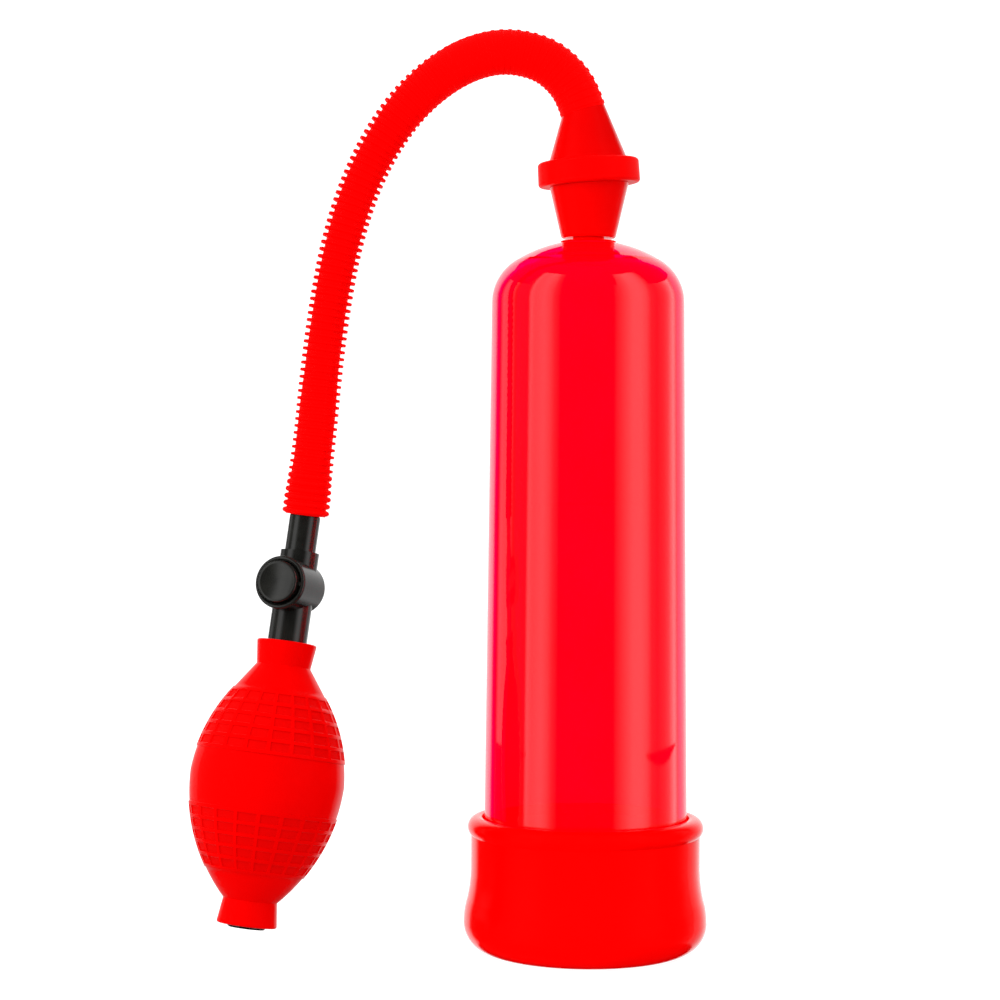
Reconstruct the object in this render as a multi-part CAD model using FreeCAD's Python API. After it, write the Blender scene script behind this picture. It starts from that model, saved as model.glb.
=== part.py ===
"""Squeeze-bulb vacuum cylinder pump, in millimetres.

Z is up, the origin is on the cylinder's axis at the level it stands on, and the bulb hangs on the -X side.
Every piece is one solid, or one group of alike solids, in its own STEP file.
"""
import FreeCAD
import Part
import math
import os
from FreeCAD import Placement, Rotation, Vector

# ---- cylinder: a tapered clear tube with a domed top and a hose nipple
TUBE_FOOT_Z = 6.0
TUBE_AXIS_R = 30.39          # outer radius that the taper would have at z = 0
TUBE_TAPER = 0.00957         # radius lost per millimetre of height
TUBE_WALL = 2.3
DOME_Z = 192.0               # height where the side wall turns into the dome
KNUCKLE_R = 14.5
KNUCKLE_END_DEG = 32.0       # angle from the axis where the knuckle meets the crown
BOSS_R = 8.2
BOSS_TOP_Z = 210.2
INNER_BOSS_R = 9.0
INNER_BOSS_Z = 205.4
NIPPLE_R = 4.65
NIPPLE_TOP_Z = 222.8
NIPPLE_BORE_R = 1.8
SEAL_Z = 217.1
SEAL_GROOVE_R = 3.4
SEAL_GROOVE_HALF = 0.85
SEAL_RING_R = 4.05
SEAL_SECTION_R = 0.62

# ---- base sleeve: a soft bell that grips the foot of the tube, with a rolled bead and a funnel mouth
SLEEVE_FIT = 0.1             # radial gap to the tube
SLEEVE_FLAT_R = 27.5
SLEEVE_BELL_R = 36.0
SLEEVE_BELL_Z = 8.6
SLEEVE_BELL_ARC = ((35.75, 12.0), (34.95, 15.6))     # bell, between its widest ring and the hollow above it
SLEEVE_HOLLOW = (34.18, 20.2)
SLEEVE_WAIST_R = 33.9
SLEEVE_WAIST_Z = 26.0
BEAD_R = 3.1
BEAD_CENTRE = (31.8, 36.7)
BEAD_LIP_R = 30.75
SLEEVE_FLOOR = 3.5
SLEEVE_LEDGE_R = 26.4
MOUTH_R = 13.0
MOUTH_FLARE = 8.0
MOUTH_TOP_Z = 24.0
FUNNEL_WALL = 2.2

# ---- connector: lower cone on the nipple, tilted collar, upper cone into the hose
LOWER_CONE_Z = (211.1, 228.2)
LOWER_CONE_R = (8.05, 12.0)
LOWER_NECK_R = 8.4
LOWER_NECK_TOP_Z = 231.4
SOCKET_R = 4.70
SOCKET_TOP_Z = 223.4
COLLAR_Z = 230.5
COLLAR_TILT_DEG = -3.7       # towards the bulb's side
COLLAR_LEAN_DEG = 2.0        # towards the front
COLLAR_R = 15.1
COLLAR_HALF = 3.6
COLLAR_BORE_R = 9.0
UPPER_CONE_R = (11.6, 6.65)
SPIGOT_R = 3.0
SPIGOT_FLANGE_R = 4.9
SPIGOT_REACH = 20.6          # collar's middle to the tip inside the hose

# ---- hose: corrugated outside, drawn plain here; its route goes from the upper cone to the valve stem
HOSE_R = 6.7
HOSE_BORE_R = 4.2
HOSE_ROUTE = [
    (-1.75, 248.7), (-3.1, 253.4), (-7.4, 259.8), (-14.5, 264.9), (-26.3, 266.9),
    (-38.8, 263.0), (-50.8, 254.1), (-60.2, 241.9), (-67.8, 226.9), (-73.2, 209.4),
    (-76.6, 190.7), (-79.1, 170.7), (-80.9, 150.2), (-83.5, 128.7),
]                            # (x, z), all in the plane y = 0
CORNER_SHARE = 0.45          # share of the shorter run that a corner's arc may take

# ---- valve and bulb hang on one straight axis from the hose's lower end
HANG_TILT_DEG = 7.3          # top towards the cylinder
HANG_LEAN_DEG = 7.5          # top towards the back
VALVE_DROP = 21.6            # hose end to the centre of the valve barrel
BARREL_YAW_DEG = -19.5
BARREL_R = 7.8
BARREL_REAR_R = 7.55
BARREL_FRONT_Y = -10.8
BARREL_STEP_Y = -0.5
BARREL_REAR_Y = 6.9
STEM_R = 4.55
STEM_TOP_DROP = 0.75
STEM_END_DROP = 13.5
SOCKET_TOP_DROP = 11.1
LOWER_STEM_END_DROP = 47.0
STEM_BARB_R = 3.5
STEM_BARB_LENGTH = 4.5
STEM_SOCKET_R = 5.7
STEM_FIT = 0.05
LOWER_STEM_R = 5.8
AIRWAY_R = 1.6
BUTTON_BORE_R = 6.4
BUTTON_BORE_FLOOR_Y = -2.8
BUTTON_R = 6.1
BUTTON_IN_R = 5.2
BUTTON_FACE_Y = -13.4
BUTTON_BACK_Y = -8.6
BUTTON_RECESS_Y = -11.4
DISH_DEPTH = 0.8
KEY_SLOT = 1.5
PLUNGER_R = 1.25
PLUNGER_HEAD_R = 3.0
REAR_BORE_R = 4.0
REAR_CAP_R = 4.8
SPRING_R = 4.2
SPRING_WIRE_R = 0.32
SPRING_TURNS = 4.5

# ---- bulb: a rubber spindle with a collar at each end
COLLAR_TOP_DROP = 38.0       # distances down the hanging axis from the hose's lower end
BULB_MIDDLE_DROP = 78.25
COLLAR_END_DROP = 120.9
BULB_R = 22.54
UPPER_NECK_DROP = 45.15
LOWER_NECK_DROP = 113.6
UPPER_CONE_END = (13.3, 52.75)       # (radius, drop) where the upper neck's cone meets the spindle
UPPER_ARC = (19.61, 64.5)    # a point of the spindle's outline above its middle, and its slope
UPPER_ARC_SLOPE = 0.4
LOWER_ARC = (18.75, 96.8)    # and one below
LOWER_ARC_SLOPE = -0.43
LOWER_NECK_SLOPE = -0.83
BULB_WALL = 2.2
BULB_END_R = 7.9
BULB_COLLAR_R = 8.8
WALL_PANEL = (20.0, 13.5)    # half height and half width of each squeezed wall
PANEL_GAP = 0.3

# ---- check valves: a rubber flap on a seat, held by a cage; one above the bulb and one below
INLET_SEAT_DROP = 38.5
EXHAUST_SEAT_DROP = 113.0
FLAP_R = 3.4
FLAP_THICK = 0.8
FLAP_GAP = 0.1
GUIDE_R = 0.8
GUIDE_LENGTH = 4.4
HUB_R = 1.8
AIR_HOLE_R = 0.8
AIR_HOLE_CIRCLE = 3.05
CHAMBER_R = 4.2
CAGE_SEAT_R = 4.6
CAGE_R = 4.55
CAGE_DROP = 6.1              # seat to the inner face of the cage
CAGE_END_DROP = 8.5
EXHAUST_BODY_R = 5.6
EXHAUST_BODY_DROPS = (109.5, 121.7)

Z_AXIS = Vector(0, 0, 1)
HOSE_END = Vector(HOSE_ROUTE[-1][0], 0, HOSE_ROUTE[-1][1])
X_AXIS = Vector(1, 0, 0)
Y_AXIS = Vector(0, 1, 0)
HANG = Placement(HOSE_END, Rotation(Y_AXIS, HANG_TILT_DEG).multiply(Rotation(X_AXIS, -HANG_LEAN_DEG)))
VALVE = HANG.multiply(Placement(Vector(0, 0, -VALVE_DROP), Rotation(Z_AXIS, BARREL_YAW_DEG)))
TO_BARREL = Placement(Vector(), Rotation(X_AXIS, -90))
COLLAR_TURN = Rotation(Y_AXIS, COLLAR_TILT_DEG).multiply(Rotation(X_AXIS, COLLAR_LEAN_DEG))
COLLAR = Placement(Vector(0, 0, COLLAR_Z), COLLAR_TURN)


def turned(start, *steps):
    """Turn a closed outline of (radius, height) points about Z.

    A step (r, z) is a straight line to that point, and ((r, z), (r, z)) an arc through one to the other.
    """
    edges = []
    here = Vector(start[0], 0, start[1])
    for step in steps + (start,):
        if isinstance(step[0], tuple):
            through, end = (Vector(r, 0, z) for r, z in step)
            edges.append(Part.Arc(here, through, end).toShape())
        else:
            end = Vector(step[0], 0, step[1])
            if end.distanceToPoint(here) > 1e-6:
                edges.append(Part.LineSegment(here, end).toShape())
        here = end
    return Part.Face(Part.Wire(edges)).revolve(Vector(), Z_AXIS, 360)


def on_arc(centre, radius, degrees):
    """Point of an arc in the (radius, height) plane, at an angle from the Z direction."""
    a = math.radians(degrees)
    return (centre[0] + radius * math.sin(a), centre[1] + radius * math.cos(a))


def placed(shape, *frames):
    """A copy of a shape carried through the given frames, the last one first."""
    moved = shape.copy()
    for frame in reversed(frames):
        moved.Placement = frame.multiply(moved.Placement)
    return moved


def rod(radius, low, high, x=0.0, y=0.0):
    """Upright cylinder between two heights."""
    return Part.makeCylinder(radius, high - low, Vector(x, y, low), Z_AXIS)


def tube_radius(z):
    return TUBE_AXIS_R - TUBE_TAPER * z


# ---------------------------------------------------------------- cylinder

def dome_curve(offset):
    """Knuckle and crown of the dome, moved inwards: arc points, and the crown's centre and radius."""
    centre = (tube_radius(DOME_Z) - KNUCKLE_R, DOME_Z)
    end = math.radians(KNUCKLE_END_DEG)
    crown_r = KNUCKLE_R + centre[0] / math.sin(end)
    crown_z = DOME_Z - centre[0] / math.tan(end)
    start = on_arc(centre, KNUCKLE_R - offset, 90)
    middle = on_arc(centre, KNUCKLE_R - offset, (90 + KNUCKLE_END_DEG) / 2)
    joint = on_arc(centre, KNUCKLE_R - offset, KNUCKLE_END_DEG)
    return start, middle, joint, crown_z, crown_r - offset


def crown_height(crown_z, crown_r, r):
    return crown_z + math.sqrt(crown_r ** 2 - r ** 2)


def crown_arc(crown_z, crown_r, r_from, r_to):
    """Arc step along the crown between two radii."""
    half = (r_from + r_to) / 2
    return ((half, crown_height(crown_z, crown_r, half)), (r_to, crown_height(crown_z, crown_r, r_to)))


def cylinder_tube():
    start, middle, joint, crown_z, crown_r = dome_curve(0.0)
    in_start, in_middle, in_joint, _, in_crown_r = dome_curve(TUBE_WALL)
    foot_r = tube_radius(TUBE_FOOT_Z)
    return turned(
        (foot_r - TUBE_WALL, TUBE_FOOT_Z), (foot_r - 0.5, TUBE_FOOT_Z), (foot_r, TUBE_FOOT_Z + 0.5),
        start, (middle, joint), crown_arc(crown_z, crown_r, joint[0], BOSS_R),
        (BOSS_R, BOSS_TOP_Z), (NIPPLE_R, BOSS_TOP_Z),
        (NIPPLE_R, SEAL_Z - SEAL_GROOVE_HALF), (SEAL_GROOVE_R, SEAL_Z - SEAL_GROOVE_HALF),
        (SEAL_GROOVE_R, SEAL_Z + SEAL_GROOVE_HALF), (NIPPLE_R, SEAL_Z + SEAL_GROOVE_HALF),
        (NIPPLE_R, NIPPLE_TOP_Z - 0.8), (NIPPLE_R - 0.8, NIPPLE_TOP_Z), (NIPPLE_BORE_R, NIPPLE_TOP_Z),
        (NIPPLE_BORE_R, INNER_BOSS_Z), (INNER_BOSS_R, INNER_BOSS_Z),
        (INNER_BOSS_R, crown_height(crown_z, in_crown_r, INNER_BOSS_R)),
        crown_arc(crown_z, in_crown_r, INNER_BOSS_R, in_joint[0]), (in_middle, in_start),
    )


def neck_seal():
    return Part.makeTorus(SEAL_RING_R, SEAL_SECTION_R, Vector(0, 0, SEAL_Z), Z_AXIS)


def base_sleeve():
    bead_r, bead_z = BEAD_CENTRE
    bead_foot_z = bead_z - math.sqrt(BEAD_R ** 2 - (SLEEVE_WAIST_R - bead_r) ** 2)
    lip_z = bead_z + math.sqrt(BEAD_R ** 2 - (BEAD_LIP_R - bead_r) ** 2)
    grip_r = tube_radius(bead_z) + SLEEVE_FIT
    ledge_out = tube_radius(TUBE_FOOT_Z) + SLEEVE_FIT
    flare = math.sqrt(0.5) * MOUTH_FLARE
    flare_end = MOUTH_R + MOUTH_FLARE
    outer_flare = MOUTH_FLARE - FUNNEL_WALL
    outer_bend = math.sqrt(0.5) * outer_flare
    bend_z = SLEEVE_FLOOR + outer_flare
    funnel_r = MOUTH_R + FUNNEL_WALL
    edge_drop = SLEEVE_BELL_R - SLEEVE_FLAT_R
    return turned(
        (flare_end, 0), (SLEEVE_FLAT_R, 0),
        (on_arc((SLEEVE_FLAT_R, SLEEVE_BELL_Z), edge_drop, 135), (SLEEVE_BELL_R, SLEEVE_BELL_Z)),
        SLEEVE_BELL_ARC, (SLEEVE_HOLLOW, (SLEEVE_WAIST_R, SLEEVE_WAIST_Z)),
        (SLEEVE_WAIST_R, bead_foot_z), ((bead_r + BEAD_R, bead_z), (bead_r, bead_z + BEAD_R)),
        (on_arc(BEAD_CENTRE, BEAD_R, -10), (BEAD_LIP_R, lip_z)),
        (grip_r, bead_z), (ledge_out, TUBE_FOOT_Z), (SLEEVE_LEDGE_R, TUBE_FOOT_Z),
        (SLEEVE_LEDGE_R, SLEEVE_FLOOR), (funnel_r + outer_flare, SLEEVE_FLOOR),
        ((funnel_r + outer_flare - outer_bend, bend_z - outer_bend), (funnel_r, bend_z)),
        (funnel_r, MOUTH_TOP_Z - 0.6), (funnel_r - 0.6, MOUTH_TOP_Z), (MOUTH_R, MOUTH_TOP_Z),
        (MOUTH_R, MOUTH_FLARE), ((flare_end - flare, MOUTH_FLARE - flare), (flare_end, 0)),
    )


# ---------------------------------------------------------------- connector

def connector_lower_cone():
    low, high = LOWER_CONE_Z
    low_r, high_r = LOWER_CONE_R
    edge = 0.6
    flange_seat = LOWER_NECK_TOP_Z - 3.0
    cone = turned(
        (SOCKET_R, low), (low_r - edge, low), ((low_r - 0.15, low + 0.2), (low_r + 0.1, low + edge)),
        (high_r, high), (LOWER_NECK_R, high), (LOWER_NECK_R, LOWER_NECK_TOP_Z),
        (SPIGOT_FLANGE_R + 0.5, LOWER_NECK_TOP_Z), (SPIGOT_FLANGE_R + 0.5, flange_seat),
        (NIPPLE_BORE_R + 0.6, flange_seat), (NIPPLE_BORE_R + 0.6, SOCKET_TOP_Z),
        (SOCKET_R, SOCKET_TOP_Z),
    )
    low_face = -COLLAR_HALF - 0.05
    clear = COLLAR_R + 5
    above = turned((COLLAR_BORE_R - 0.05, low_face), (clear, low_face), (clear, COLLAR_HALF),
                   (COLLAR_BORE_R - 0.05, COLLAR_HALF))
    return cone.cut(placed(above, COLLAR))


def connector_collar():
    edge = 1.0
    out = COLLAR_R - edge
    shape = turned(
        (COLLAR_BORE_R, -COLLAR_HALF), (out, -COLLAR_HALF),
        (on_arc((out, edge - COLLAR_HALF), edge, 135), (COLLAR_R, edge - COLLAR_HALF)),
        (COLLAR_R - 0.1, COLLAR_HALF - edge),
        (on_arc((out - 0.1, COLLAR_HALF - edge), edge, 45), (out - 0.1, COLLAR_HALF)),
        (COLLAR_BORE_R, COLLAR_HALF),
    )
    return placed(shape, COLLAR)


def hose_direction(index):
    """Unit vector of one of the route's runs."""
    (x0, z0), (x1, z1) = HOSE_ROUTE[index], HOSE_ROUTE[index + 1]
    return Vector(x1 - x0, 0, z1 - z0).normalize()


def connector_upper_cone():
    base_r, top_r = UPPER_CONE_R
    base = COLLAR.multVec(Vector(0, 0, COLLAR_HALF + 0.05))
    axis = COLLAR.Rotation.multVec(Z_AXIS)
    top = Vector(HOSE_ROUTE[0][0], 0, HOSE_ROUTE[0][1])
    base_rim = Part.Wire(Part.makeCircle(base_r, base, axis))
    top_rim = Part.Wire(Part.makeCircle(top_r, top, hose_direction(0)))
    cone = Part.makeLoft([base_rim, top_rim], True, True)
    return cone.cut(placed(rod(SPIGOT_R + 0.1, 0, 40), COLLAR))


def hose_spigot():
    bore = NIPPLE_BORE_R
    reach = SPIGOT_REACH
    shape = turned(
        (bore, -1.7), (SPIGOT_FLANGE_R, -1.7), (SPIGOT_FLANGE_R, 0.4), (SPIGOT_R, 0.4),
        (SPIGOT_R, reach - 1.5), (SPIGOT_R + 0.2, reach - 1.3), (SPIGOT_R - 0.5, reach), (bore, reach),
    )
    return placed(shape, COLLAR)


# ---------------------------------------------------------------- hose

def rounded_route(points):
    """Straight runs joined by tangent arcs, as one wire, with the arcs' radii and the line's length."""
    count = len(points)
    runs = [points[i + 1].distanceToPoint(points[i]) for i in range(count - 1)]
    edges, radii = [], []
    here = points[0]
    for i in range(1, count - 1):
        back = (points[i - 1] - points[i]).normalize()
        ahead = (points[i + 1] - points[i]).normalize()
        reach = CORNER_SHARE * min(runs[i - 1], runs[i])
        half_turn = (math.pi - back.getAngle(ahead)) / 2
        radius = reach / math.tan(half_turn)
        start = points[i] + back * reach
        end = points[i] + ahead * reach
        inward = (back + ahead).normalize()
        through = points[i] + inward * (radius / math.cos(half_turn) - radius)
        edges.append(Part.LineSegment(here, start).toShape())
        edges.append(Part.Arc(start, through, end).toShape())
        radii.append(radius)
        here = end
    edges.append(Part.LineSegment(here, points[-1]).toShape())
    return Part.Wire(edges), radii


def hose():
    points = [Vector(x, 0, z) for x, z in HOSE_ROUTE]
    path, radii = rounded_route(points)
    outside, bore = (
        path.makePipeShell([Part.Wire(Part.makeCircle(r, points[0], hose_direction(0)))], True, False)
        for r in (HOSE_R, HOSE_BORE_R)
    )
    shape = outside.cut(bore)
    section = math.pi * (HOSE_R ** 2 - HOSE_BORE_R ** 2)
    print("hose radii", [round(r, 1) for r in radii])
    print("hose length", round(path.Length, 1), "volume over section x length",
          round(shape.Volume / (section * path.Length), 4))
    return shape


# ---------------------------------------------------------------- valve

def barrel_turned(*outline):
    """Outline turned about the barrel's axis, heights running from the button to the rear."""
    return placed(turned(*outline), VALVE, TO_BARREL)


def hose_stem():
    shape = turned(
        (AIRWAY_R, -STEM_END_DROP), (STEM_R, -STEM_END_DROP), (STEM_R, -STEM_TOP_DROP),
        (STEM_BARB_R, -STEM_TOP_DROP),
        (STEM_BARB_R, STEM_BARB_LENGTH - 1.5), (STEM_BARB_R - 1.0, STEM_BARB_LENGTH),
        (AIRWAY_R, STEM_BARB_LENGTH),
    )
    return placed(shape, HANG)


def valve_body():
    bevel = 0.4
    fillet = 2.6
    rear_in = BARREL_REAR_R - fillet
    barrel = placed(turned(
        (0, BARREL_FRONT_Y), (BARREL_R - bevel, BARREL_FRONT_Y), (BARREL_R, BARREL_FRONT_Y + bevel),
        (BARREL_R, BARREL_STEP_Y), (BARREL_REAR_R, BARREL_STEP_Y + 0.25),
        (BARREL_REAR_R, BARREL_REAR_Y - fillet),
        (on_arc((rear_in, BARREL_REAR_Y - fillet), fillet, 45), (rear_in, BARREL_REAR_Y)), (0, BARREL_REAR_Y),
    ), TO_BARREL)
    socket_top = VALVE_DROP - SOCKET_TOP_DROP
    stem_end = VALVE_DROP - LOWER_STEM_END_DROP
    body = barrel.fuse(rod(STEM_SOCKET_R, 0, socket_top)).fuse(rod(LOWER_STEM_R, stem_end, 0))
    seat = VALVE_DROP - INLET_SEAT_DROP
    hollows = [
        rod(STEM_R + STEM_FIT, VALVE_DROP - STEM_END_DROP - 0.1, socket_top + 1),
        rod(AIRWAY_R, seat - 1, socket_top),
        rod(CHAMBER_R, seat - CAGE_DROP, seat),
        rod(CAGE_SEAT_R, stem_end - 1, seat - CAGE_DROP + 0.1),
        placed(rod(BUTTON_BORE_R, BARREL_FRONT_Y - 1, BUTTON_BORE_FLOOR_Y), TO_BARREL),
        placed(rod(PLUNGER_R + 0.1, BUTTON_BORE_FLOOR_Y - 1, 2), TO_BARREL),
        placed(rod(REAR_BORE_R, 1.5, 5), TO_BARREL),
        placed(rod(REAR_CAP_R + 0.1, 4.5, BARREL_REAR_Y + 1), TO_BARREL),
        Part.makeBox(2.0, 7.0, KEY_SLOT, Vector(BUTTON_R - 0.9, BARREL_FRONT_Y - 1, -KEY_SLOT / 2)),
    ]
    for hollow in hollows:
        body = body.cut(hollow)
    return placed(body.removeSplitter(), VALVE)


def valve_rear_cap():
    return barrel_turned(
        (0.8, 6.2), (REAR_BORE_R + 0.1, 6.2), (REAR_BORE_R + 0.1, 4.6), (REAR_CAP_R, 4.6),
        (REAR_CAP_R, 6.8),
        (REAR_CAP_R - 0.4, 7.1), (0.8, 7.1),
    )


def release_button():
    edge = 0.5
    rim = BUTTON_R - edge - 0.3
    cap = turned(
        (0, BUTTON_FACE_Y + DISH_DEPTH), ((rim / 2, BUTTON_FACE_Y + 0.73 * DISH_DEPTH), (rim, BUTTON_FACE_Y)),
        (BUTTON_R - edge, BUTTON_FACE_Y),
        (on_arc((BUTTON_R - edge, BUTTON_FACE_Y + edge), edge, 135), (BUTTON_R, BUTTON_FACE_Y + edge)),
        (BUTTON_R, BUTTON_BACK_Y), (BUTTON_IN_R, BUTTON_BACK_Y), (BUTTON_IN_R, BUTTON_RECESS_Y),
        (PLUNGER_R, BUTTON_RECESS_Y), (PLUNGER_R, BUTTON_RECESS_Y - 0.6), (0, BUTTON_RECESS_Y - 0.6),
    )
    key = Part.makeBox(1.2, 3.2, 1.0, Vector(5.6, BUTTON_BACK_Y - 3.2, -0.5))
    return placed(placed(cap, TO_BARREL).fuse(key).removeSplitter(), VALVE)


def release_plunger():
    return barrel_turned(
        (0, BUTTON_RECESS_Y - 0.5), (PLUNGER_R, BUTTON_RECESS_Y - 0.5), (PLUNGER_R, 2.7),
        (PLUNGER_HEAD_R, 2.7), (PLUNGER_HEAD_R, 3.4), (0, 3.4),
    )


def plunger_seal():
    return placed(Part.makeTorus(1.9, 0.55, Vector(0, 0, 2.1), Z_AXIS), VALVE, TO_BARREL)


def release_spring():
    low = BUTTON_RECESS_Y + SPRING_WIRE_R + 0.1
    height = BUTTON_BORE_FLOOR_Y - SPRING_WIRE_R - 0.1 - low
    helix = Part.Wire(Part.makeHelix(height / SPRING_TURNS, height, SPRING_R).Edges)
    ring = Part.Wire(Part.makeCircle(SPRING_WIRE_R, Vector(SPRING_R, 0, 0), Vector(0, 1, 0)))
    wire = helix.makePipeShell([ring], True, True)
    return placed(wire, VALVE, TO_BARREL, Placement(Vector(0, 0, low), Rotation()))


# ---------------------------------------------------------------- check valves

def check_flap(seat_drop):
    """Rubber disc below its seat, with a guide stem."""
    top = -seat_drop - FLAP_GAP
    return placed(turned(
        (0, top), (FLAP_R - 0.2, top), (FLAP_R, top - 0.2), (FLAP_R, top - FLAP_THICK),
        (GUIDE_R, top - FLAP_THICK), (GUIDE_R, top - GUIDE_LENGTH), (0, top - GUIDE_LENGTH),
    ), HANG)


def check_cage(seat_drop):
    """Disc with a guide hub and four air holes."""
    face = -seat_drop - CAGE_DROP
    end = -seat_drop - CAGE_END_DROP
    hub_top = face + 2.5
    guide_bore = GUIDE_R + 0.1
    cage = turned((guide_bore, hub_top), (HUB_R, hub_top), (HUB_R, face), (CAGE_R, face), (CAGE_R, end),
                  (guide_bore, end))
    for turn in range(4):
        a = math.radians(45 + 90 * turn)
        hole = rod(AIR_HOLE_R, end - 1, face + 1, AIR_HOLE_CIRCLE * math.cos(a), AIR_HOLE_CIRCLE * math.sin(a))
        cage = cage.cut(hole)
    return placed(cage, HANG)


def exhaust_valve_body():
    top, end = (-drop for drop in EXHAUST_BODY_DROPS)
    seat = -EXHAUST_SEAT_DROP
    return placed(turned(
        (AIRWAY_R, top), (EXHAUST_BODY_R - 0.8, top), (EXHAUST_BODY_R, top - 1.2),
        (EXHAUST_BODY_R, end + 0.4), (EXHAUST_BODY_R - 0.4, end), (CAGE_SEAT_R, end),
        (CAGE_SEAT_R, seat - CAGE_DROP), (CHAMBER_R, seat - CAGE_DROP), (CHAMBER_R, seat), (AIRWAY_R, seat),
    ), HANG)


# ---------------------------------------------------------------- bulb

def inset(point, slope):
    """Outline point moved inwards by the wall; slope is the radius gained per millimetre of drop."""
    turn = math.atan(slope)
    return point[0] - BULB_WALL * math.cos(turn), point[1] + BULB_WALL * math.sin(turn)


def whole_bulb():
    top, end = -COLLAR_TOP_DROP, -COLLAR_END_DROP
    neck_r = LOWER_STEM_R + STEM_FIT
    plug_r = EXHAUST_BODY_R + STEM_FIT
    rim = BULB_COLLAR_R - 0.5
    cone_slope = (UPPER_CONE_END[0] - BULB_END_R) / (UPPER_CONE_END[1] - UPPER_NECK_DROP)
    in_cone = inset(UPPER_CONE_END, cone_slope)
    in_upper = inset(UPPER_ARC, UPPER_ARC_SLOPE)
    in_lower = inset(LOWER_ARC, LOWER_ARC_SLOPE)
    in_end = inset((BULB_END_R, LOWER_NECK_DROP), LOWER_NECK_SLOPE)
    in_neck_drop = in_cone[1] - (in_cone[0] - neck_r) / cone_slope

    def at(point):
        return point[0], -point[1]

    return turned(
        (neck_r, top), (rim, top), (on_arc((rim, top - 0.5), 0.5, 45), (BULB_COLLAR_R, top - 0.5)),
        (BULB_END_R, -UPPER_NECK_DROP), at(UPPER_CONE_END), (at(UPPER_ARC), (BULB_R, -BULB_MIDDLE_DROP)),
        (at(LOWER_ARC), (BULB_END_R, -LOWER_NECK_DROP)), (BULB_COLLAR_R, end + 0.5),
        (on_arc((rim, end + 0.5), 0.5, 135), (rim, end)), (plug_r, end), (plug_r, -in_end[1]), at(in_end),
        (at(in_lower), (BULB_R - BULB_WALL, -BULB_MIDDLE_DROP)), (at(in_upper), at(in_cone)),
        (neck_r, -in_neck_drop),
    )


def wall_punch(side, gap):
    """Elliptical prism through one side of the bulb, -1 in front and +1 behind."""
    high, wide = (size - gap for size in WALL_PANEL)
    oval = Part.Face(Part.Wire(Part.Ellipse(Vector(), high, wide).toShape()))
    prism = oval.extrude(Vector(0, 0, side * 30.0))
    stand = Rotation(Vector(0, 0, 1), Vector(1, 0, 0), Vector(0, 1, 0))
    return placed(prism, Placement(Vector(0, 0, -BULB_MIDDLE_DROP), stand))


def bulb_shell():
    shape = whole_bulb()
    for side in (-1, 1):
        shape = shape.cut(wall_punch(side, 0.0))
    return placed(shape, HANG)


def bulb_wall(side):
    return placed(whole_bulb().common(wall_punch(side, PANEL_GAP)), HANG)


PIECES = {
    "cylinder_tube": cylinder_tube,
    "base_sleeve": base_sleeve,
    "neck_seal": neck_seal,
    "connector_lower_cone": connector_lower_cone,
    "connector_collar": connector_collar,
    "connector_upper_cone": connector_upper_cone,
    "hose_spigot": hose_spigot,
    "hose": hose,
    "hose_stem": hose_stem,
    "valve_body": valve_body,
    "valve_rear_cap": valve_rear_cap,
    "release_button": release_button,
    "release_plunger": release_plunger,
    "plunger_seal": plunger_seal,
    "release_spring": release_spring,
    "inlet_flap": lambda: check_flap(INLET_SEAT_DROP),
    "inlet_cage": lambda: check_cage(INLET_SEAT_DROP),
    "bulb_shell": bulb_shell,
    "bulb_front_wall": lambda: bulb_wall(-1),
    "bulb_back_wall": lambda: bulb_wall(1),
    "exhaust_valve_body": exhaust_valve_body,
    "exhaust_flap": lambda: check_flap(EXHAUST_SEAT_DROP),
    "exhaust_cage": lambda: check_cage(EXHAUST_SEAT_DROP),
}

os.makedirs("parts", exist_ok=True)
for name, make in PIECES.items():
    piece = make()
    if not piece.isValid():
        raise ValueError(name + " is not a valid solid")
    piece.exportStep("parts/" + name + ".step")
    print(name, len(piece.Solids), "solid", round(piece.Volume, 1), "mm3")
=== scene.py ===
"""Looks of a squeeze-bulb vacuum cylinder pump: clear red cylinder, soft sleeve, ribbed hose, valve and bulb.

Lengths are in millimetres and are turned to metres where a mesh is made; the studio's are in metres. Z is up,
the cylinder's axis is the Z axis, and the bulb hangs on the -X side.
"""

import math

import bmesh
import bpy
from mathutils import Matrix, Vector


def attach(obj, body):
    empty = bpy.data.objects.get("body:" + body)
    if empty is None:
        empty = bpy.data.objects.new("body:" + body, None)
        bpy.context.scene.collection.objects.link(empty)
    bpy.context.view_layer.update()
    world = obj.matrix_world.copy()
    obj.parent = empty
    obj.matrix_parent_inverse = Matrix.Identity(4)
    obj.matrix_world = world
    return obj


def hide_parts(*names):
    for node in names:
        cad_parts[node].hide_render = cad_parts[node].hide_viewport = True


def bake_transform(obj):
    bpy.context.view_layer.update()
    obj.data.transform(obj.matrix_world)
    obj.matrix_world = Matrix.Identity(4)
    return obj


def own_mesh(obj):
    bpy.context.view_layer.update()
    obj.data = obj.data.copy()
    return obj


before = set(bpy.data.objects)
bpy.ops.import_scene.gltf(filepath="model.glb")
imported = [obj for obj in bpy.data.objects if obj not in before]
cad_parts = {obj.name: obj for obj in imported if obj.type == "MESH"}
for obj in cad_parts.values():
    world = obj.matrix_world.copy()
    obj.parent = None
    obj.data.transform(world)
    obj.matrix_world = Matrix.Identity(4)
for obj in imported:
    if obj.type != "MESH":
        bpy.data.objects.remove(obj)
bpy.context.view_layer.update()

MM = 0.001

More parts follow.
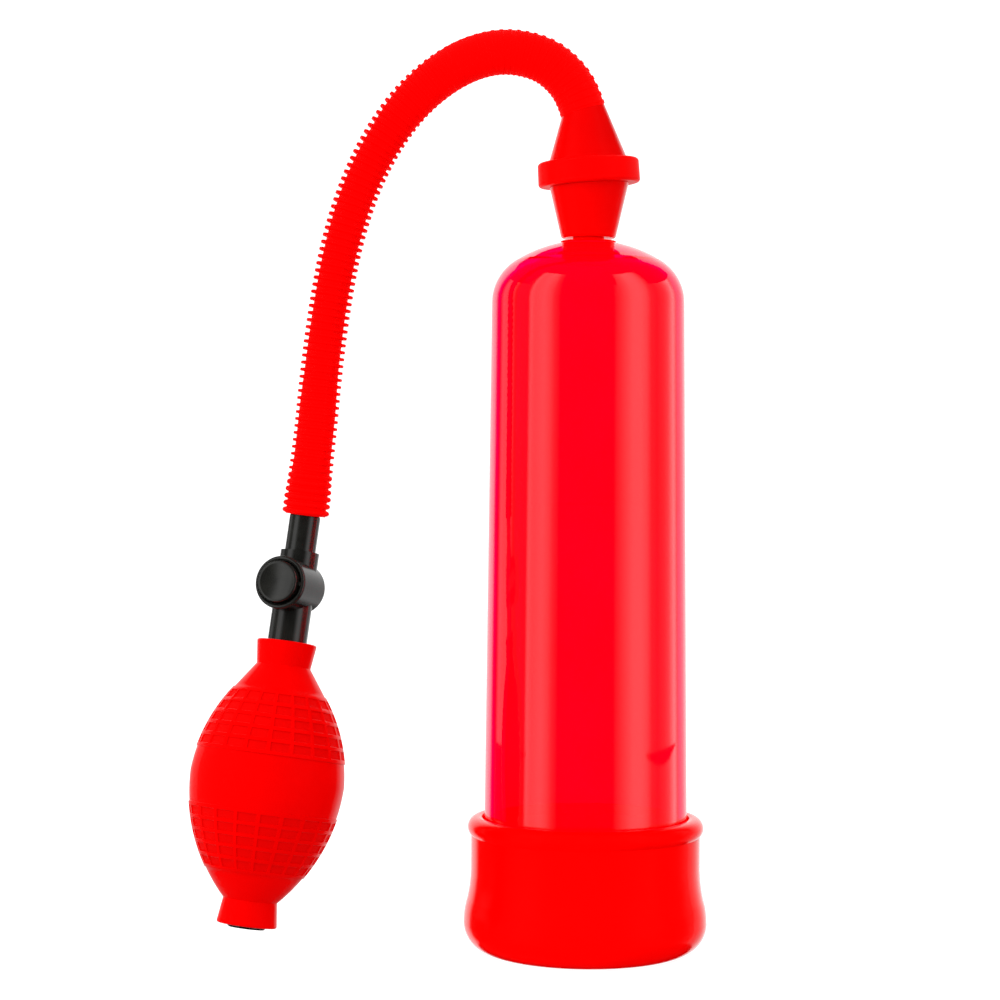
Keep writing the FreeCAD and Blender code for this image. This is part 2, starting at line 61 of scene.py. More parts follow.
# ---- how the object hangs together
HOSE_ROUTE = [
    (-1.75, 248.7), (-3.1, 253.4), (-7.4, 259.8), (-14.5, 264.9), (-26.3, 266.9),
    (-38.8, 263.0), (-50.8, 254.1), (-60.2, 241.9), (-67.8, 226.9), (-73.2, 209.4),
    (-76.6, 190.7), (-79.1, 170.7), (-80.9, 150.2), (-83.5, 128.7),
]                                # (x, z), all in the plane y = 0
HANG_TILT = math.radians(7.3)    # top towards the cylinder
HANG_LEAN = math.radians(7.5)    # top towards the back
VALVE_DROP = 21.6                # drops are distances down the hanging axis from the hose's lower end
BARREL_YAW = math.radians(-19.5)


def turn(angle, axis):
    return Matrix.Rotation(angle, 4, axis)


HOSE_END = Vector((HOSE_ROUTE[-1][0], 0, HOSE_ROUTE[-1][1]))
UPRIGHT = Matrix.Identity(4)
HANG = Matrix.Translation(HOSE_END) @ turn(HANG_TILT, "Y") @ turn(-HANG_LEAN, "X")
VALVE = HANG @ Matrix.Translation((0, 0, -VALVE_DROP)) @ turn(BARREL_YAW, "Z")
BARREL = VALVE @ turn(math.radians(-90), "X")


# ---------------------------------------------------------------- outlines, in (radius, height)

def arc(centre, radius, start_deg, end_deg, step_deg):
    """Points along an arc; angles are from the Z direction towards larger radii."""
    count = max(2, math.ceil(abs(end_deg - start_deg) / step_deg))
    points = []
    for i in range(count + 1):
        a = math.radians(start_deg + (end_deg - start_deg) * i / count)
        points.append((centre[0] + radius * math.sin(a), centre[1] + radius * math.cos(a)))
    return points


FILLET_STEP_DEG = 9.0
FILLET_REACH = 0.49              # a fillet may use up to this share of the edges beside it


def rounded(corners):
    """Open outline through corners (r, z) or (r, z, fillet radius); its two ends have no fillet."""
    points = []
    for i, corner in enumerate(corners):
        here = Vector(corner[:2])
        if len(corner) < 3:
            points.append(tuple(here))
            continue
        before = Vector(corners[i - 1][:2]) - here
        after = Vector(corners[i + 1][:2]) - here
        angle = before.angle(after)
        room = FILLET_REACH * min(before.length, after.length)
        reach = min(corner[2] / math.tan(angle / 2), room)
        fillet = reach * math.tan(angle / 2)
        bisector = (before.normalized() + after.normalized()).normalized()
        centre = here + bisector * (fillet / math.sin(angle / 2))
        start = here + before.normalized() * reach - centre
        sweep = math.pi - angle
        side = 1 if before.x * after.y - before.y * after.x < 0 else -1
        steps = max(2, math.ceil(math.degrees(sweep) / FILLET_STEP_DEG))
        for k in range(steps + 1):
            a = side * sweep * k / steps
            points.append((centre.x + start.x * math.cos(a) - start.y * math.sin(a),
                           centre.y + start.x * math.sin(a) + start.y * math.cos(a)))
    return points


# ---------------------------------------------------------------- meshes

LATHE_SEGMENTS = 96
SWEPT_SEGMENTS = 64


def mesh_object(name, verts, faces, place=UPRIGHT, sharp_deg=32.0):
    """A piece from millimetre points, with flat edges kept sharp and everything else smooth."""
    mesh = bpy.data.meshes.new(name)
    mesh.from_pydata([(place @ Vector(v)) * MM for v in verts], [], faces)
    bm = bmesh.new()
    bm.from_mesh(mesh)
    bmesh.ops.recalc_face_normals(bm, faces=bm.faces)
    for face in bm.faces:
        face.smooth = True
    for edge in bm.edges:
        if len(edge.link_faces) == 2 and edge.calc_face_angle() > math.radians(sharp_deg):
            edge.smooth = False
    bm.to_mesh(mesh)
    bm.free()
    piece = bpy.data.objects.new(name, mesh)
    bpy.context.scene.collection.objects.link(piece)
    return piece


def ring_faces(count, segments):
    """Quads between each ring of points and the next, and between the last ring and the first."""
    faces = []
    for i in range(count):
        low, high = i * segments, (i + 1) % count * segments
        for k in range(segments):
            n = (k + 1) % segments
            faces.append((low + k, low + n, high + n, high + k))
    return faces


def lathe(name, outline, place):
    """Closed outline turned about the local Z axis."""
    verts = []
    for r, z in outline:
        for k in range(LATHE_SEGMENTS):
            a = 2 * math.pi * k / LATHE_SEGMENTS
            verts.append((r * math.cos(a), r * math.sin(a), z))
    return mesh_object(name, verts, ring_faces(len(outline), LATHE_SEGMENTS), place)


def swept(name, stations):
    """Closed skin over rings. A station is (centre, direction, radius, radius inside the bend), at y = 0."""
    across = Vector((0, 1, 0))
    verts = []
    for centre, direction, radius, inner in stations:
        side = direction.cross(across).normalized()
        for k in range(SWEPT_SEGMENTS):
            a = 2 * math.pi * k / SWEPT_SEGMENTS
            here = radius + (inner - radius) * max(0.0, math.cos(a))
            verts.append(centre + (side * math.cos(a) + across * math.sin(a)) * here)
    return mesh_object(name, verts, ring_faces(len(stations), SWEPT_SEGMENTS))


# ---------------------------------------------------------------- materials

def principled(name, colour, **sockets):
    """A node material whose even values sit on the shader's own sockets."""
    material = bpy.data.materials.new(name)
    material.use_nodes = True
    shader = material.node_tree.nodes["Principled BSDF"]
    shader.inputs["Base Color"].default_value = (*colour, 1.0)
    for socket, value in sockets.items():
        shader.inputs[socket.replace("_", " ")].default_value = value
    return material


def noise_over(material, scale, detail):
    """Output of a noise over the piece's own coordinates."""
    nodes, links = material.node_tree.nodes, material.node_tree.links
    place = nodes.new("ShaderNodeTexCoord")
    noise = nodes.new("ShaderNodeTexNoise")
    noise.inputs["Scale"].default_value = scale
    noise.inputs["Detail"].default_value = detail
    links.new(place.outputs["Object"], noise.inputs["Vector"])
    return noise.outputs["Fac"]


def remapped(tree, value, from_range, to_range=(0.0, 1.0)):
    """Output of a node that carries a value from one range to another, and stops at its ends."""
    node = tree.nodes.new("ShaderNodeMapRange")
    node.inputs["From Min"].default_value = from_range[0]
    node.inputs["From Max"].default_value = from_range[1]
    node.inputs["To Min"].default_value = to_range[0]
    node.inputs["To Max"].default_value = to_range[1]
    tree.links.new(value, node.inputs["Value"])
    return node.outputs["Result"]


MOTTLE_RANGE = (0.35, 0.65)      # the noise values of the darkest and of the lightest colour
MOTTLE_DETAIL = 4.0
GRAIN_DETAIL = 3.0
GRAIN_STRENGTH = 0.3


def mottled(material, dark, light, scale):
    """Fine change of base colour over the surface, from dark to light."""
    nodes, links = material.node_tree.nodes, material.node_tree.links
    ramp = nodes.new("ShaderNodeValToRGB")
    for stop, position, colour in zip(ramp.color_ramp.elements, MOTTLE_RANGE, (dark, light)):
        stop.position = position
        stop.color = (*colour, 1.0)
    links.new(noise_over(material, scale, MOTTLE_DETAIL), ramp.inputs["Fac"])
    links.new(ramp.outputs["Color"], nodes["Principled BSDF"].inputs["Base Color"])
    return material


def grained(material, scale, distance):
    """Fine surface grain as a bump."""
    nodes, links = material.node_tree.nodes, material.node_tree.links
    bump = nodes.new("ShaderNodeBump")
    bump.inputs["Strength"].default_value = GRAIN_STRENGTH
    bump.inputs["Distance"].default_value = distance
    links.new(noise_over(material, scale, GRAIN_DETAIL), bump.inputs["Height"])
    links.new(bump.outputs["Normal"], nodes["Principled BSDF"].inputs["Normal"])


def solid_above(material, heights, colour, glow, gloss):
    """See-through below a height, and above it solid, less glossy and with a faint painted red glow."""
    tree = material.node_tree
    shader = tree.nodes["Principled BSDF"]
    place = tree.nodes.new("ShaderNodeTexCoord")
    split = tree.nodes.new("ShaderNodeSeparateXYZ")
    tree.links.new(place.outputs["Object"], split.inputs["Vector"])
    height = split.outputs["Z"]
    changes = {"Transmission Weight": 0.0, "Emission Strength": glow, "Specular IOR Level": gloss}
    for name, above in changes.items():
        socket = shader.inputs[name]
        tree.links.new(remapped(tree, height, heights, (socket.default_value, above)), socket)
    mix = tree.nodes.new("ShaderNodeMix")
    mix.data_type = "RGBA"
    mix.inputs["B"].default_value = (*colour, 1.0)
    base = shader.inputs["Base Color"]
    tree.links.new(remapped(tree, height, heights), mix.inputs["Factor"])
    tree.links.new(base.links[0].from_socket, mix.inputs["A"])
    tree.links.new(mix.outputs["Result"], base)


EDGE_RANGE = (0.55, 0.85)        # how far the surface has turned away where the gloss starts and stops rising


def edge_gloss(material, middle, edge):
    """Specular level that rises from the middle of a round piece to its edges."""
    tree = material.node_tree
    facing = tree.nodes.new("ShaderNodeLayerWeight")
    facing.inputs["Blend"].default_value = 0.5
    level = remapped(tree, facing.outputs["Facing"], EDGE_RANGE, (middle, edge))
    tree.links.new(level, tree.nodes["Principled BSDF"].inputs["Specular IOR Level"])


# Colour of the painted glow that the clear tube, the sleeve and the hose give off.
PAINTED_GLOW_RED = (1.0, 0.0, 0.0, 1.0)
MATT = 0.01                      # specular level of a surface with hardly any gloss
NECK_FROM = (0.2090, 0.2097)     # in metres: over this height the clear wall turns into the solid neck


def red(level):
    return (level, 0.0, 0.0)


def red_rubber(name, level, scale, swing=0.02, **sockets):
    """Red that goes a little darker and lighter over the surface."""
    return mottled(principled(name, red(level), **sockets), red(level - swing), red(level + swing), scale)


# Painted glow: the clear tube gives off a faint red light of its own, and its solid neck a little more.
clear_red = principled("clear_red", (1.0, 0.0, 0.07), Roughness=0.03, IOR=1.49, Transmission_Weight=0.97,
                       Emission_Color=PAINTED_GLOW_RED, Emission_Strength=0.15)
mottled(clear_red, (0.99, 0.0, 0.06), (1.0, 0.0, 0.08), 30.0)
solid_above(clear_red, NECK_FROM, red(0.9), 0.2, 0.02)

# Painted glow: the sleeve gives off a faint red light of its own that lifts its shaded parts.
soft_red = red_rubber("soft_red", 0.87, 60.0, Roughness=0.12, Emission_Color=PAINTED_GLOW_RED, Emission_Strength=0.05)
grained(soft_red, 900.0, 0.00005)
edge_gloss(soft_red, MATT, 0.45)
connector_red = red_rubber("connector_red", 0.82, 60.0, Roughness=0.2)
grained(connector_red, 1500.0, 0.00005)
edge_gloss(connector_red, MATT, 0.7)
connector_cone_red = red_rubber("connector_cone_red", 0.65, 60.0, Roughness=0.2)
grained(connector_cone_red, 1500.0, 0.00005)
edge_gloss(connector_cone_red, MATT, 0.3)
collar_red = red_rubber("collar_red", 0.86, 60.0, Roughness=0.3, Specular_IOR_Level=MATT)
grained(collar_red, 1500.0, 0.00005)
# Painted glow: the hose gives off red light of its own that fills the shade in its rib grooves.
hose_red = red_rubber("hose_red", 0.84, 90.0, Roughness=0.5, Specular_IOR_Level=MATT,
                      Emission_Color=PAINTED_GLOW_RED, Emission_Strength=0.12)
bulb_red = red_rubber("bulb_red", 0.73, 90.0, Roughness=0.4)
edge_gloss(bulb_red, 0.005, 0.35)
grained(bulb_red, 1800.0, 0.0001)
# Painted shade: a darker, matt copy of the bulb red for the sunken cells between the ribs.
bulb_cell_shade_red = red_rubber("bulb_cell_shade_red", 0.66, 400.0, swing=0.015, Roughness=0.6, Specular_IOR_Level=MATT)

valve_black = principled("valve_black", (0.010, 0.010, 0.009), Roughness=0.2, Specular_IOR_Level=0.4)
mottled(valve_black, (0.008, 0.008, 0.007), (0.013, 0.013, 0.011), 200.0)
grained(valve_black, 1500.0, 0.00001)
seal_rubber = principled("seal_rubber", (0.02, 0.02, 0.02), Roughness=0.6)
mottled(seal_rubber, (0.015, 0.015, 0.015), (0.03, 0.03, 0.03), 300.0)
spring_steel = principled("spring_steel", (0.6, 0.6, 0.6), Roughness=0.25, Metallic=1.0)
mottled(spring_steel, (0.5, 0.5, 0.5), (0.7, 0.7, 0.7), 300.0)

NODE_LOOKS = {
    "cylinder_tube": clear_red,
    "base_sleeve": soft_red,
    "neck_seal": seal_rubber,
    "connector_lower_cone": connector_red,
    "connector_collar": collar_red,
    "connector_upper_cone": connector_cone_red,
    "hose_spigot": connector_red,
    "hose": hose_red,
    "hose_stem": valve_black,
    "valve_body": valve_black,
    "valve_rear_cap": valve_black,
    "release_button": valve_black,
    "release_plunger": valve_black,
    "plunger_seal": seal_rubber,
    "release_spring": spring_steel,
    "inlet_flap": seal_rubber,
    "inlet_cage": valve_black,
    "bulb_shell": bulb_red,
    "bulb_front_wall": bulb_red,
    "bulb_back_wall": bulb_red,
    "exhaust_valve_body": valve_black,
    "exhaust_flap": seal_rubber,
    "exhaust_cage": valve_black,
}
for node, node_look in NODE_LOOKS.items():
    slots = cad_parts[node].data.materials
    slots.clear()
    slots.append(node_look)


def dress(piece, look, body, slot, *nodes):
    """Give a piece its material and body, and hide the nodes that it stands in for; its slot is not used."""
    piece.data.materials.append(look)
    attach(piece, body)
    if nodes:
        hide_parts(*nodes)


# ---------------------------------------------------------------- release spring

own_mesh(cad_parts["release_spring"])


# ---------------------------------------------------------------- valve

BARREL_FRONT_Z = -10.8           # the barrel's front end, along its own axis
BEZEL_MIDDLE_R = 7.11
BEZEL_HALF = 0.67                # half of the bezel's width; its cross-section is half a circle
BEZEL_STEP_DEG = 15
STEM_SHOULDER = [(3.8, -0.75), (4.54, -0.75), (4.5, -0.4), (4.15, -0.02), (4.12, 0.3), (3.8, 0.3)]

half_circle = arc((BEZEL_MIDDLE_R, BARREL_FRONT_Z), BEZEL_HALF, 90, 270, BEZEL_STEP_DEG)
bezel = lathe("valve_bezel", half_circle, BARREL)
dress(bezel, valve_black, "hose_and_bulb", "valve_black")
shoulder = lathe("hose_stem_shoulder", STEM_SHOULDER, HANG)
dress(shoulder, valve_black, "hose_and_bulb", "valve_black")


# ---------------------------------------------------------------- hose

ROUTE_STEPS = 24                 # points of the centreline in each stretch of the route
ROUTE_ORDER = 3                  # the route's points pull a chain of parabolas
RIB_PITCH = 2.1
HOSE_BORE_R = 4.2
CREST_R = [(0, 6.86), (21, 6.86), (42, 6.58), (60, 6.5), (72, 6.43), (92, 6.28), (142, 6.3), (170, 6.38),
           (176, 6.45), (182, 6.62), (187, 6.98), (193, 6.98)]      # at distances along the hose
GROOVE_R = [(0, 6.55), (45, 6.5), (54, 6.12), (66, 5.5), (78, 4.9), (130, 4.9), (150, 5.05), (160, 5.4),
            (176, 5.45), (182, 5.85), (193, 5.9)]
INNER_GROOVE_R = [(0, 6.72), (30, 6.62), (45, 6.5), (56, 6.4), (66, 6.1), (78, 5.5), (92, 4.95), (130, 4.9),
                  (150, 5.05), (160, 5.4), (176, 5.45), (182, 5.85), (193, 5.9)]     # inside the bend
CREST_SHARE = 0.30               # flat part of a rib, as a share of the pitch
FLANK_SHARE = 0.11
FLANK_CORNERS = [(0.0, 0.0), (0.15, 0.12), (0.7, 0.9), (1.0, 1.0)]   # shares of the flank and of the height
DISC_FROM = 12.0                 # over this last length the ribs are rounded discs
DISC_GAP = 0.08                  # half of the gap between two discs, as a share of the pitch
DISC_STEPS = 8


def hose_line():
    """Smooth centreline through the route, and the distance along it of each of its points."""
    data = bpy.data.curves.new("hose_route", "CURVE")
    data.dimensions = "3D"
    data.resolution_u = ROUTE_STEPS
    spline = data.splines.new("NURBS")
    spline.points.add(len(HOSE_ROUTE) - 1)
    for point, (x, z) in zip(spline.points, HOSE_ROUTE):
        point.co = (x * MM, 0, z * MM, 1)
    spline.order_u = ROUTE_ORDER
    spline.use_endpoint_u = True
    holder = bpy.data.objects.new("hose_route", data)
    bpy.context.scene.collection.objects.link(holder)
    line = bpy.data.meshes.new_from_object(holder)
    points = [v.co / MM for v in line.vertices]
    bpy.data.objects.remove(holder)
    bpy.data.curves.remove(data)
    bpy.data.meshes.remove(line)
    if (points[0] - Vector((HOSE_ROUTE[0][0], 0, HOSE_ROUTE[0][1]))).length > 1:
        points.reverse()
    along = [0.0]
    for a, b in zip(points, points[1:]):
        along.append(along[-1] + (b - a).length)
    return points, along


def on_line(points, along, s):
    """Point and direction at a distance along a line."""
    k = 1
    while k < len(along) - 1 and along[k] < s:
        k += 1
    share = (s - along[k - 1]) / (along[k] - along[k - 1])

    def heading(i):
        low, high = max(i - 1, 0), min(i + 1, len(points) - 1)
        return (points[high] - points[low]).normalized()

    direction = heading(k - 1).lerp(heading(k), share).normalized()
    return points[k - 1].lerp(points[k], share), direction


def table_value(table, s):
    """Value between the pairs of a table, along straight lines."""
    for (s0, v0), (s1, v1) in zip(table, table[1:]):
        if s <= s1:
            return v0 + (v1 - v0) * (s - s0) / (s1 - s0)
    return table[-1][1]


def rib_profile(is_disc):
    """One rib, as shares of the pitch and of the rib's height."""
    if is_disc:
        width = 1 - 2 * DISC_GAP
        steps = [k / DISC_STEPS for k in range(DISC_STEPS + 1)]
        return [(0.0, 0.0)] + [(DISC_GAP + width * t, math.sin(math.pi * t) ** 0.5) for t in steps]
    foot = (1 - CREST_SHARE) / 2 - FLANK_SHARE
    rising = [(foot + share * FLANK_SHARE, height) for share, height in FLANK_CORNERS]
    falling = [(1 - share, height) for share, height in reversed(rising)]
    return [(0.0, 0.0)] + rising + falling


def hose_skin():
    """Ribbed outside and plain bore of the hose, with its centreline."""
    points, along = hose_line()
    length = along[-1]
    count = round(length / RIB_PITCH)
    pitch = length / count
    stations = []
    for i in range(count):
        middle = (i + 0.5) * pitch
        crest = table_value(CREST_R, middle)
        for share, height in rib_profile(middle > length - DISC_FROM):
            s = (i + share) * pitch
            grooves = (table_value(GROOVE_R, s), table_value(INNER_GROOVE_R, s))
            radii = [groove + (crest - groove) * height for groove in grooves]
            stations.append((*on_line(points, along, s), *radii))
    end_r = table_value(GROOVE_R, length)
    stations.append((*on_line(points, along, length), end_r, end_r))
    bore_rings = count // 2
    for i in range(bore_rings, -1, -1):
        stations.append((*on_line(points, along, length * i / bore_rings), HOSE_BORE_R, HOSE_BORE_R))
    return swept("hose_ribbed", stations), points


hose_look, hose_points = hose_skin()
dress(hose_look, hose_red, "hose_and_bulb", "hose_red", "hose")


# ---------------------------------------------------------------- bulb

COLLAR_TOP_DROP = 38.0
COLLAR_END_DROP = 120.9
BULB_COLLAR_R = 8.84
COLLAR_FILLET = 0.6
STEM_HOLE_R = 5.85
PLUG_HOLE_R = 5.65
UPPER_NECK = (7.93, 45.15)       # the outline's points are (radius, drop)
UPPER_CONE_END = (13.32, 52.75)
UPPER_ARC = (19.61, 64.5)
MIDDLE = (22.54, 78.25)
LOWER_ARC = (18.75, 96.8)
LOWER_NECK = (7.88, 113.6)
BULB_WALL = 2.2
LINING_TOP = 1.8                 # the inside starts this far below the upper neck
LINING_FOOT = 1.0                # and ends this far above the lower neck
LINING_STEP = 1.2                # below that it is as wide as the plug's hole
LINING_RINGS = 24
UPPER_BAND = (53.35, 70.85)      # drops of a grip band's first and last rib
LOWER_BAND = (88.0, 105.1)
BAND_ROWS = 5
BAND_CELLS = 20
CELL_TURN = math.radians(-2.0)
RIB_HEIGHT = 0.3
RIB_HALF = 0.45                  # half of the width of a rib's top
RIB_SLOPE = 0.15
BULB_SHARP_DEG = 40.0
CELL_SHARES = (0.0, 0.08, 0.11, 0.30, 0.5, 0.70, 0.89, 0.92)     # columns, from one upright rib to the next
PLAIN_RINGS = (8, 14, 8)         # above, between and below the bands


def circle_through(a, b, c):
    """Centre and radius of the circle through three points."""
    ax, ay = a
    bx, by = b[0] - ax, b[1] - ay
    cx, cy = c[0] - ax, c[1] - ay
    d = 2 * (bx * cy - by * cx)
    ux = (cy * (bx * bx + by * by) - by * (cx * cx + cy * cy)) / d
    uy = (bx * (cx * cx + cy * cy) - cx * (bx * bx + by * by)) / d
    return (ax + ux, ay + uy), math.hypot(ux, uy)


def outline_radius(drop):
    """Outside radius of the bulb between its necks: a cone, then one arc above the middle and one below."""
    if drop <= UPPER_CONE_END[1]:
        share = (drop - UPPER_NECK[1]) / (UPPER_CONE_END[1] - UPPER_NECK[1])
        return UPPER_NECK[0] + share * (UPPER_CONE_END[0] - UPPER_NECK[0])
    ends = (UPPER_CONE_END, UPPER_ARC, MIDDLE) if drop < MIDDLE[1] else (MIDDLE, LOWER_ARC, LOWER_NECK)
    centre, radius = circle_through(*ends)
    return centre[0] + math.sqrt(radius ** 2 - (drop - centre[1]) ** 2)


def inside_radius(drop):
    """Inside radius of the bulb, with the wall's thickness measured square to it."""
    step = 0.1
    slope = (outline_radius(drop + step) - outline_radius(drop - step)) / (2 * step)
    return outline_radius(drop) - BULB_WALL * math.hypot(1, slope)


def band_drops(band):
    """Drops of one band's rings, each with how much of a rib runs round there."""
    rows = []
    pitch = (band[1] - band[0]) / BAND_ROWS
    foot = RIB_HALF + RIB_SLOPE
    for row in range(BAND_ROWS + 1):
        middle = band[0] + row * pitch
        rows += [(middle - foot, 0.0), (middle - RIB_HALF, 1.0)]
        rows += [(middle + RIB_HALF, 1.0), (middle + foot, 0.0)]
        if row < BAND_ROWS:
            rows.append((middle + pitch / 2, 0.0))
    return rows


def plain_drops(start, end, count):
    """Drops strictly between two rings of the bare bulb."""
    return [(start + (end - start) * i / count, 0.0, False) for i in range(1, count)]


def bulb_rings():
    """Rings of the bulb from the top: (radius, drop, part round which ribs run, inside a band)."""
    collar_top = (BULB_COLLAR_R, COLLAR_TOP_DROP, COLLAR_FILLET)
    collar_end = (BULB_COLLAR_R, COLLAR_END_DROP, COLLAR_FILLET)
    upper_collar = rounded([(STEM_HOLE_R, COLLAR_TOP_DROP), collar_top, UPPER_NECK])
    rings = [(r, drop, 0.0, False) for r, drop in upper_collar]
    upper, lower = band_drops(UPPER_BAND), band_drops(LOWER_BAND)
    spindle = plain_drops(UPPER_NECK[1], upper[0][0], PLAIN_RINGS[0])
    for band, after, count in ((upper, lower[0][0], PLAIN_RINGS[1]), (lower, LOWER_NECK[1], PLAIN_RINGS[2])):
        last = len(band) - 1
        spindle += [(drop, part, 0 < i < last) for i, (drop, part) in enumerate(band)]
        spindle += plain_drops(band[-1][0], after, count)
    rings += [(outline_radius(drop), drop, part, inside) for drop, part, inside in spindle]
    lower_collar = rounded([LOWER_NECK, collar_end, (PLUG_HOLE_R, COLLAR_END_DROP)])
    rings += [(r, drop, 0.0, False) for r, drop in lower_collar]
    foot = LOWER_NECK[1] - LINING_FOOT
    top = UPPER_NECK[1] + LINING_TOP
    lining = [foot + (top - foot) * i / LINING_RINGS for i in range(LINING_RINGS + 1)]
    rings.append((PLUG_HOLE_R, foot + LINING_STEP, 0.0, False))
    rings += [(max(inside_radius(drop), PLUG_HOLE_R), drop, 0.0, False) for drop in lining]
    return rings


def bulb_half(name, side):
    """Front (side -1) or back (side 1) half of the bulb, a closed piece cut at its middle plane."""
    angles = []
    for cell in range(BAND_CELLS // 2):
        angles += [((cell + share) / BAND_CELLS * 2 * math.pi + CELL_TURN, share) for share in CELL_SHARES]
    angles.append((math.pi + CELL_TURN, 0.0))
    rings = bulb_rings()
    low_share, high_share = CELL_SHARES[1], CELL_SHARES[-1]
    verts, faces = [], []
    for r, drop, part, inside in rings:
        for angle, share in angles:
            on_upright = inside and (share <= low_share or share >= high_share)
            radius = r + RIB_HEIGHT * (1.0 if on_upright else part)
            verts.append((side * -radius * math.cos(angle), side * radius * math.sin(angle), -drop))
    wide = len(angles)
    for i in range(len(rings)):
        j = (i + 1) % len(rings)
        for k in range(wide - 1):
            faces.append((i * wide + k, i * wide + k + 1, j * wide + k + 1, j * wide + k))
    for end in (0, wide - 1):
        faces.append([i * wide + end for i in range(len(rings))])
    piece = mesh_object(name, verts, faces, HANG, BULB_SHARP_DEG)
    piece.data.materials.append(bulb_red)
    piece.data.materials.append(bulb_cell_shade_red)
    # Painted shade: the cells' faces between the ribs take the darker red.
    for index in range(len(rings) * (wide - 1)):
        ring, step = divmod(index, wide - 1)
        below = (ring + 1) % len(rings)
        in_cell = low_share <= angles[step][1] < high_share
        in_band = rings[ring][3] and rings[below][3]
        if in_cell and in_band and rings[ring][2] + rings[below][2] == 0:
            piece.data.polygons[index].material_index = 1
    return piece


for half_name, side, half_body, nodes in (
    ("bulb_front_half", -1, "bulb_front", ("bulb_shell", "bulb_front_wall")),
    ("bulb_back_half", 1, "bulb_back", ("bulb_back_wall",)),
):
    half = bulb_half(half_name, side)
    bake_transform(half)
    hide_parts(*nodes)


# ---------------------------------------------------------------- studio

CAMERA_DISTANCE = 0.690
CAMERA_X = -0.02581
CAMERA_Z = 0.1360
LOOK_Z = 0.13345
CAMERA_ROLL = math.radians(0.286)     # the object in the picture leans a little
WIDTH_AT_AXIS = 0.2966           # of the picture, at the cylinder's axis
SENSOR_WIDTH = 36.0              # in millimetres

# Softboxes, as brightness around the object: azimuth 0 is the camera's side, and positive is to its right.
WALL_LIGHT = [
    (-180, 1.10), (-143, 1.05), (-136, 0.0), (-127, 0.0), (-120, 0.65), (-103, 0.65), (-97, 0.1),
    (-93, 0.08), (-76, 0.08), (-72, 1.6), (-66, 1.2), (-54, 1.6), (-46, 1.0), (-41, 0.35), (-34, 0.0),
    (28, 0.0), (36, 0.5), (52, 1.8), (62, 1.8), (70, 1.2), (77, 0.3), (86, 0.15), (98, 0.35), (105, 0.65),
    (117, 2.0), (125, 0.6), (135, 0.65), (150, 1.0), (160, 1.15), (180, 1.10),
]
WALL_R = 0.9
WALL_STEP = 2                    # degrees
WALL_FOOT_Z = -0.45
WALL_TOP_Z = 0.65
TALLER = [(-176, -140, 0.78), (-78, -36, 1.30), (36, 78, 1.30), (140, 174, 1.16)]   # azimuths, and top
EDGE_Z = -0.024                  # level of the table's far edge, a dark line in the softboxes' foot
EDGE_LINES = [(-101, -72, 0.005), (68, 120, 0.010)]      # azimuths, and depth in the middle
EDGE_GAP = 0.0005                # added to the depth
NO_FOOT = (-127, -93)            # this softbox ends at the table's edge

FLOOR_HALF = 30.0
FLOOR_GREY = 0.25
FLOOR_GLOW = 0.95
KEY_AZIMUTH = math.radians(-50)
KEY_DISTANCE = 1.2
KEY_SIZE = 0.8
KEY_Z = 0.6
KEY_RADIANCE = 1.3
WORLD_MIDDLE = 1.28
WORLD_SIDE = -0.28               # brighter on the left, and from above
WORLD_UP = 0.44


def key_light():
    """Upright soft light at the front left, seen only in the object's matt surfaces."""
    data = bpy.data.lights.new("key_front_left", "AREA")
    data.shape = "SQUARE"
    data.size = KEY_SIZE
    data.energy = KEY_RADIANCE * math.pi * KEY_SIZE ** 2
    light = bpy.data.objects.new("key_front_left", data)
    bpy.context.scene.collection.objects.link(light)
    away = Vector((math.sin(KEY_AZIMUTH), -math.cos(KEY_AZIMUTH), 0))
    light.location = away * KEY_DISTANCE + Vector((0, 0, KEY_Z))
    light.rotation_euler = (-away).to_track_quat("-Z", "Y").to_euler()
    light.visible_camera = False
    light.visible_transmission = False
    light.visible_glossy = False


def stage_mesh(name, build, look):
    """A piece of the studio, which isn't part of the object."""
    mesh = bpy.data.meshes.new(name)
    bm = bmesh.new()
    build(bm)
    bm.to_mesh(mesh)
    bm.free()
    mesh.materials.append(look)
    thing = bpy.data.objects.new(name, mesh)
    bpy.context.scene.collection.objects.link(thing)
    return thing


def build_floor(bm):
    corners = ((-1, -1), (1, -1), (1, 1), (-1, 1))
    bm.faces.new([bm.verts.new((x * FLOOR_HALF, y * FLOOR_HALF, 0.0)) for x, y in corners])


def edge_depth(azimuth):
    """Depth of the dark line under the table's edge."""
    for start, end, depth in EDGE_LINES:
        if start < azimuth < end:
            return depth * (1 - ((2 * azimuth - start - end) / (end - start)) ** 2)
    return 0.0


def wall_top(azimuth):
    """Height of the softboxes' upper edge."""
    for start, end, top in TALLER:
        if start <= azimuth <= end:
            return top
    return WALL_TOP_Z


def build_wall(bm):
    """Upright ring around the object, seen only in its reflections."""
    columns = []
    for azimuth in range(-180, 180, WALL_STEP):
        a = math.radians(azimuth)
        heights = (WALL_FOOT_Z, EDGE_Z - EDGE_GAP - edge_depth(azimuth), EDGE_Z, wall_top(azimuth))
        place = (WALL_R * math.sin(a), -WALL_R * math.cos(a))
        columns.append((azimuth, [bm.verts.new((*place, z)) for z in heights]))
    for (azimuth, left), (_, right) in zip(columns, columns[1:] + columns[:1]):
        for row in range(3):
            dark_line = row == 1 and edge_depth(azimuth + WALL_STEP / 2) > 0
            no_foot = row == 0 and NO_FOOT[0] < azimuth < NO_FOOT[1]
            if not dark_line and not no_foot:
                bm.faces.new((left[row], right[row], right[row + 1], left[row + 1]))


